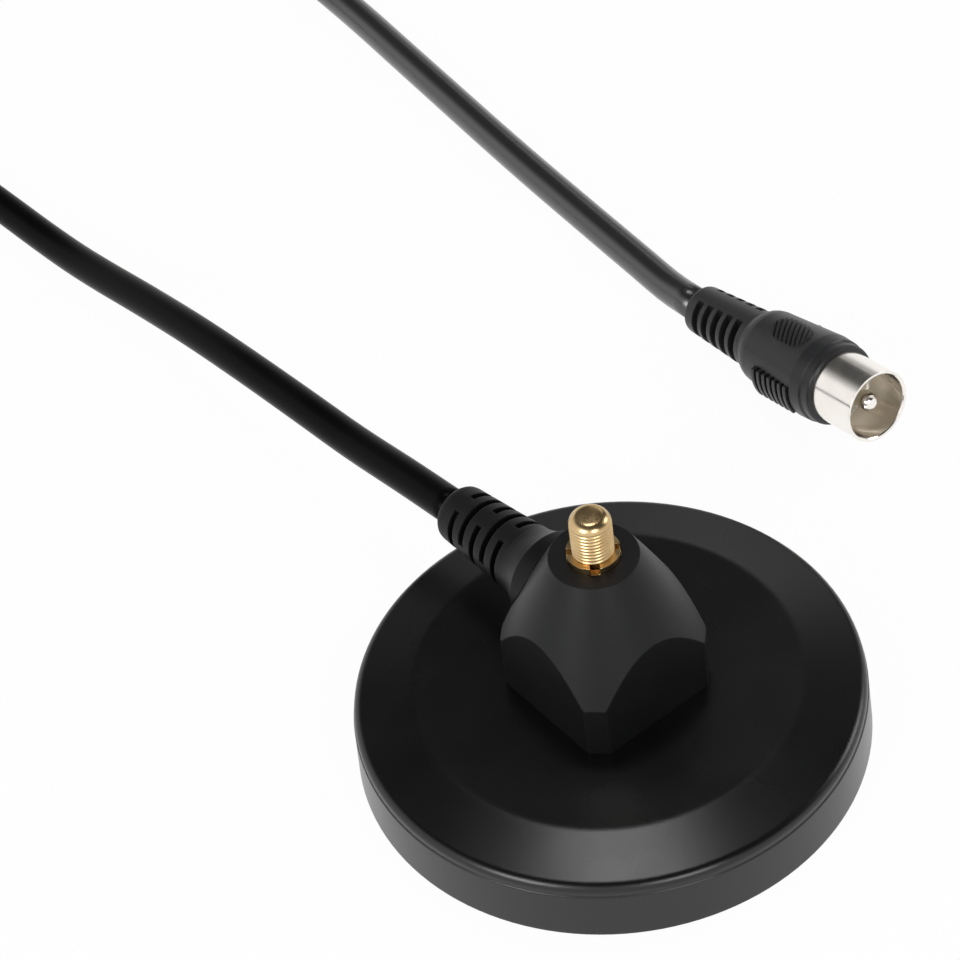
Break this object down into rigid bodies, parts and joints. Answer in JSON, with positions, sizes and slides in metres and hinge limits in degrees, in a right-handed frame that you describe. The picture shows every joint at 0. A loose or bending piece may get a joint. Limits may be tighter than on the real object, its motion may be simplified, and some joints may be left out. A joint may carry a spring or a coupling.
{
  "type": "indoor tv antenna",
  "caption": "Round magnetic antenna foot with a cut-cornered housing, a threaded brass stud for a whip, a strain-relieved coaxial lead and a push-on aerial plug.",
  "frame": {"origin": "middle of the round foot, on the surface it stands on", "axes": "+Z along the threaded stud, away from the foot; +Y is the way the lead leaves the housing"},
  "size_m": [0.0949, 0.2787, 0.0365],
  "materials": {
    "black_paint": "satin",
    "zinc_steel": "satin",
    "ferrite": "matte",
    "pad_rubber": "matte",
    "housing_plastic": "satin",
    "brass": "gloss",
    "tinned_sheet": "satin",
    "lead_jacket": "satin",
    "white_core": "matte",
    "copper": "gloss",
    "relief_vinyl": "matte",
    "tie_nylon": "gloss",
    "grip_vinyl": "matte",
    "nickel": "gloss",
    "insulator_plastic": "satin"
  },
  "bodies": {
    "root": {"base_cover": "black_paint", "back_plate": "zinc_steel", "ring_magnet": "ferrite", "foot_pad": "pad_rubber", "housing": "housing_plastic", "housing_screw_left": "zinc_steel", "housing_screw_right": "zinc_steel", "threaded_stud": "brass", "stud_collar": "brass", "solder_lug": "tinned_sheet", "stud_washer": "brass", "stud_nut": "brass", "inner_jacket": "lead_jacket", "crimp_ring": "tinned_sheet", "inner_dielectric": "white_core", "inner_conductor": "copper", "shield_pigtail": "tinned_sheet", "earth_lug": "tinned_sheet", "earth_screw": "zinc_steel", "earth_nut": "zinc_steel", "strain_relief": "relief_vinyl", "cable_base_run": "lead_jacket", "cable_coil": "lead_jacket", "coil_tie": "tie_nylon", "cable_plug_run": "lead_jacket", "plug_grip": "grip_vinyl", "plug_shell": "nickel", "plug_insulator": "insulator_plastic", "plug_pin": "nickel", "plug_clamp": "tinned_sheet"}
  },
  "joints": []
}
